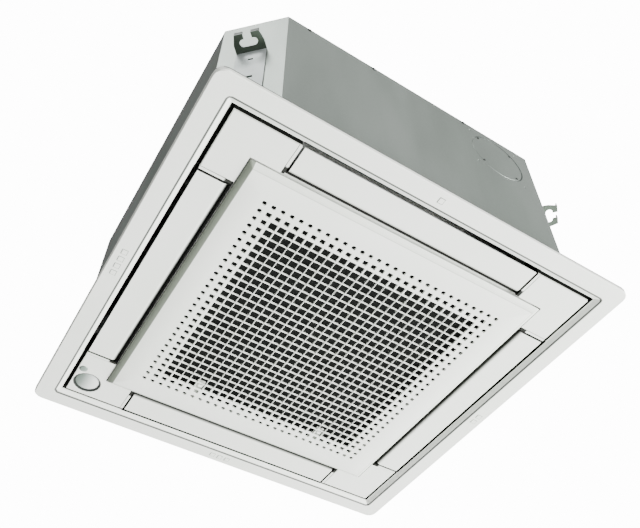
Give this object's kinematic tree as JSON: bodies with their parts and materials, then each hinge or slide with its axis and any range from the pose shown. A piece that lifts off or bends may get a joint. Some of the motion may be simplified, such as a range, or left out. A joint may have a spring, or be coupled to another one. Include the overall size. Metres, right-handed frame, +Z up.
{
  "type": "ceiling cassette air conditioner",
  "caption": "Compact four-way ceiling cassette: galvanised body with hanger brackets, coil, fan and drain pump, square panel with hinged grille and swinging air flaps.",
  "frame": {"origin": "middle of the square ceiling opening, on the fan axis, in the plane of the ceiling surface", "axes": "+Z up into the ceiling space; -Y towards the side with the grille hinges; +Y towards the side with the pipes"},
  "size_m": [0.62, 0.6315, 0.306],
  "materials": {
    "galvanised": "plain galvanised sheet, satin",
    "bracket_zinc": "zinc plated, satin",
    "white_foam": "expanded foam, matt",
    "fins": "satin",
    "copper_pipe": "copper tube, satin",
    "brass": "satin",
    "panel_white": "fine grain, satin",
    "dark_plastic": "matt",
    "grey_plastic": "matt",
    "steel": "brushed",
    "rubber": "matt",
    "filter_net": "fine net, matt",
    "circuit": "satin",
    "lens": "translucent, glossy"
  },
  "bodies": {
    "housing": {"casing_shell": "galvanised", "top_plate": "galvanised", "foam_liner": "white_foam", "heat_exchanger": "fins", "gas_pipe": "copper_pipe", "liquid_pipe": "copper_pipe", "gas_flare_nut": "brass", "liquid_flare_nut": "brass", "pipe_cover_plate": "galvanised", "drain_pan": "white_foam", "drain_pump": "grey_plastic", "drain_riser": "grey_plastic", "drain_socket": "grey_plastic", "float_switch": "grey_plastic", "bell_mouth": "grey_plastic", "fan_motor": "steel", "switch_box": "galvanised", "switch_box_cover": "galvanised", "control_board": "circuit", "terminal_block": "dark_plastic", "cable_bush": "rubber", "panel_gasket": "rubber", "panel_frame": "panel_white", "sensor_bezel": "dark_plastic", "sensor_lens": "lens", "indicator_lens": "lens", "grille_hinge_pin_1": "steel", "grille_hinge_pin_2": "steel", "motor_bush_1": "rubber", "motor_bush_2": "rubber", "motor_bush_3": "rubber", "hanger_bracket_1": "bracket_zinc", "corner_cover_1": "panel_white", "flap_motor_1": "dark_plastic", "panel_screw_1": "steel", "hanger_bracket_2": "bracket_zinc", "corner_cover_2": "panel_white", "flap_motor_2": "dark_plastic", "panel_screw_2": "steel", "hanger_bracket_3": "bracket_zinc", "corner_cover_3": "panel_white", "flap_motor_3": "dark_plastic", "panel_screw_3": "steel", "hanger_bracket_4": "bracket_zinc", "corner_cover_4": "panel_white", "flap_motor_4": "dark_plastic", "panel_screw_4": "steel"},
    "fan": {"turbo_fan": "grey_plastic", "fan_nut": "steel", "motor_shaft": "steel"},
    "pump_rotor": {"pump_impeller": "grey_plastic"},
    "float": {"drain_float": "white_foam"},
    "flap_front": {"flap_1": "panel_white"},
    "flap_right": {"flap_2": "panel_white"},
    "flap_back": {"flap_3": "panel_white"},
    "flap_left": {"flap_4": "panel_white"},
    "grille": {"suction_grille": "panel_white", "air_filter": "filter_net"},
    "left_latch": {"grille_latch_1": "panel_white"},
    "right_latch": {"grille_latch_2": "panel_white"}
  },
  "joints": [
    {"name": "fan_spin", "type": "hinge", "parent": "housing", "child": "fan", "pos_m": [0, 0, 0.2], "axis": [0, 0, 1], "continuous": true},
    {"name": "pump_spin", "type": "hinge", "parent": "housing", "child": "pump_rotor", "pos_m": [0.186, 0.186, 0.09], "axis": [0, 0, 1], "continuous": true},
    {"name": "float_lift", "type": "slide", "parent": "housing", "child": "float", "axis": [0, 0, 1], "range_m": [0, 0.012]},
    {"name": "flap_front_swing", "type": "hinge", "parent": "housing", "child": "flap_front", "pos_m": [0, -0.237, 0.003], "axis": [1, 0, 0], "range_deg": [0, 60]},
    {"name": "flap_right_swing", "type": "hinge", "parent": "housing", "child": "flap_right", "pos_m": [0.237, 0, 0.003], "axis": [0, 1, 0], "range_deg": [0, 60]},
    {"name": "flap_back_swing", "type": "hinge", "parent": "housing", "child": "flap_back", "pos_m": [0, 0.237, 0.003], "axis": [-1, 0, 0], "range_deg": [0, 60]},
    {"name": "flap_left_swing", "type": "hinge", "parent": "housing", "child": "flap_left", "pos_m": [-0.237, 0, 0.003], "axis": [0, -1, 0], "range_deg": [0, 60]},
    {"name": "grille_swing", "type": "hinge", "parent": "housing", "child": "grille", "pos_m": [0, -0.218, -0.003], "axis": [-1, 0, 0], "range_deg": [0, 85]},
    {"name": "left_latch_slide", "type": "slide", "parent": "grille", "child": "left_latch", "axis": [0, -1, 0], "range_m": [0, 0.0035]},
    {"name": "right_latch_slide", "type": "slide", "parent": "grille", "child": "right_latch", "axis": [0, -1, 0], "range_m": [0, 0.0035]}
  ]
}
